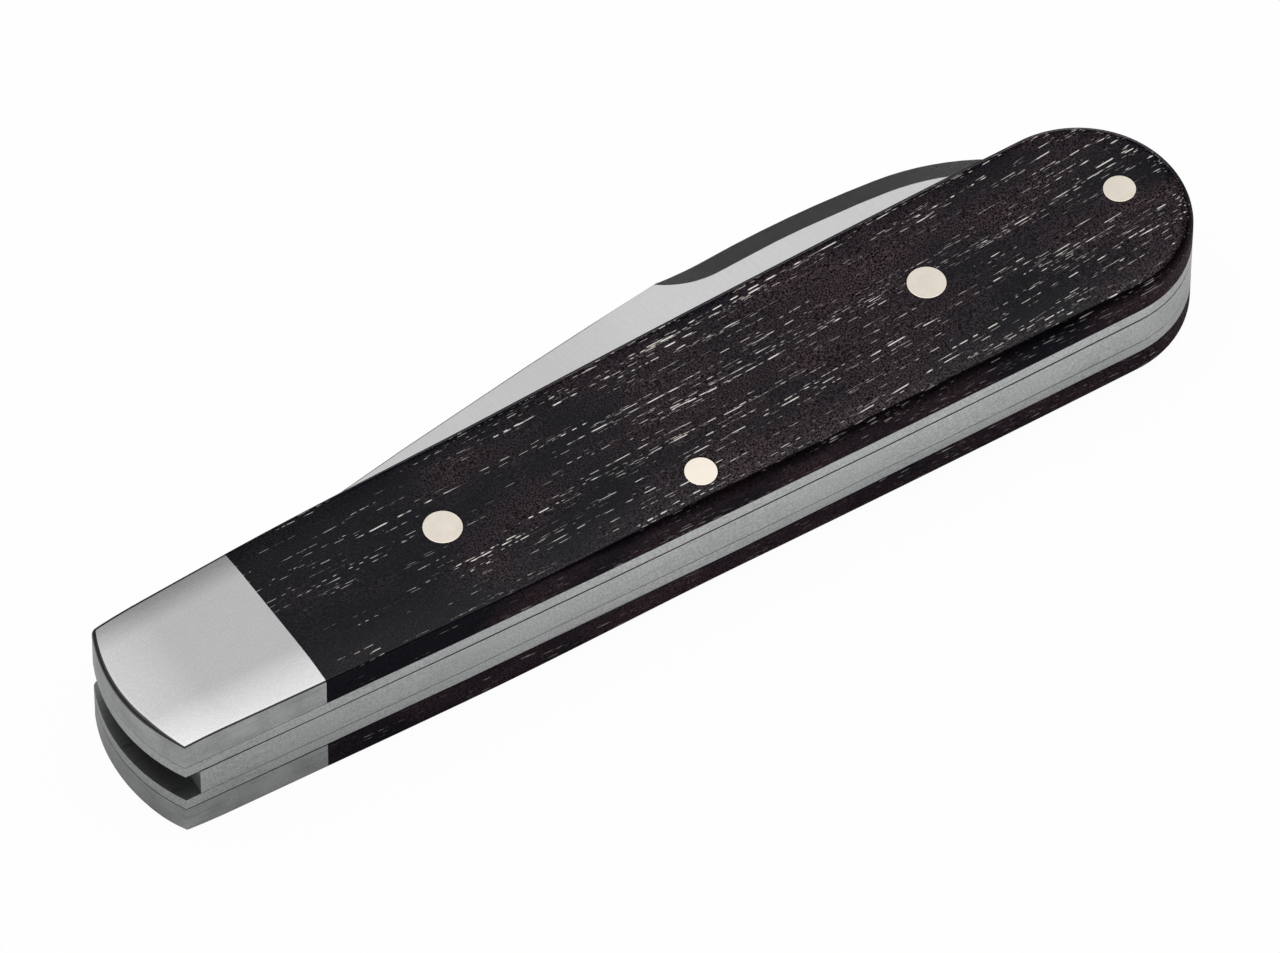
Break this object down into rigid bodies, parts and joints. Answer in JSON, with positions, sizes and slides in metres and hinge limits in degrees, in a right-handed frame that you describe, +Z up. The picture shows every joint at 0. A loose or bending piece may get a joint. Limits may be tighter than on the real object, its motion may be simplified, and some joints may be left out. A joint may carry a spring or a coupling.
{
  "type": "folding pocket knife",
  "caption": "Slip-joint folding pocket knife with wood scales, metal bolsters, a pinned backspring and a sheepsfoot blade with a swedge that folds out about its pivot.",
  "frame": {"origin": "on the pivot axis, in the outer face of the rear bolster that the closed knife lies on", "axes": "+X along the handle to its butt, +Y to the mouth where the blade comes out, +Z up through the layers"},
  "size_m": [0.0916, 0.0227, 0.0111],
  "materials": {
    "dark_wood": "oiled, open pores",
    "bolster_metal": "fine satin",
    "liner_metal": "ground edge",
    "spring_steel": "ground edge",
    "blade_steel": "cross-ground satin",
    "pin_metal": "nickel silver, ground flush",
    "washer_brass": "plain"
  },
  "bodies": {
    "handle": {"front_scale": "dark_wood", "rear_scale": "dark_wood", "front_bolster": "bolster_metal", "rear_bolster": "bolster_metal", "front_liner": "liner_metal", "rear_liner": "liner_metal", "backspring": "spring_steel", "pivot_pin": "bolster_metal", "front_pivot_washer": "washer_brass", "rear_pivot_washer": "washer_brass", "spring_middle_pin": "pin_metal", "spring_butt_pin": "pin_metal", "front_scale_rivet_fore": "pin_metal", "front_scale_rivet_aft": "pin_metal", "front_bolster_rivet_upper": "bolster_metal", "front_bolster_rivet_lower": "bolster_metal", "rear_scale_rivet_fore": "pin_metal", "rear_scale_rivet_aft": "pin_metal", "rear_bolster_rivet_upper": "bolster_metal", "rear_bolster_rivet_lower": "bolster_metal"},
    "blade": {"blade": "blade_steel"}
  },
  "joints": [
    {"name": "blade_fold", "type": "hinge", "parent": "handle", "child": "blade", "pos_m": [0, 0, 0.00555], "axis": [0, 0, 1], "range_deg": [0, 169.5], "deforming": ["backspring"]}
  ]
}
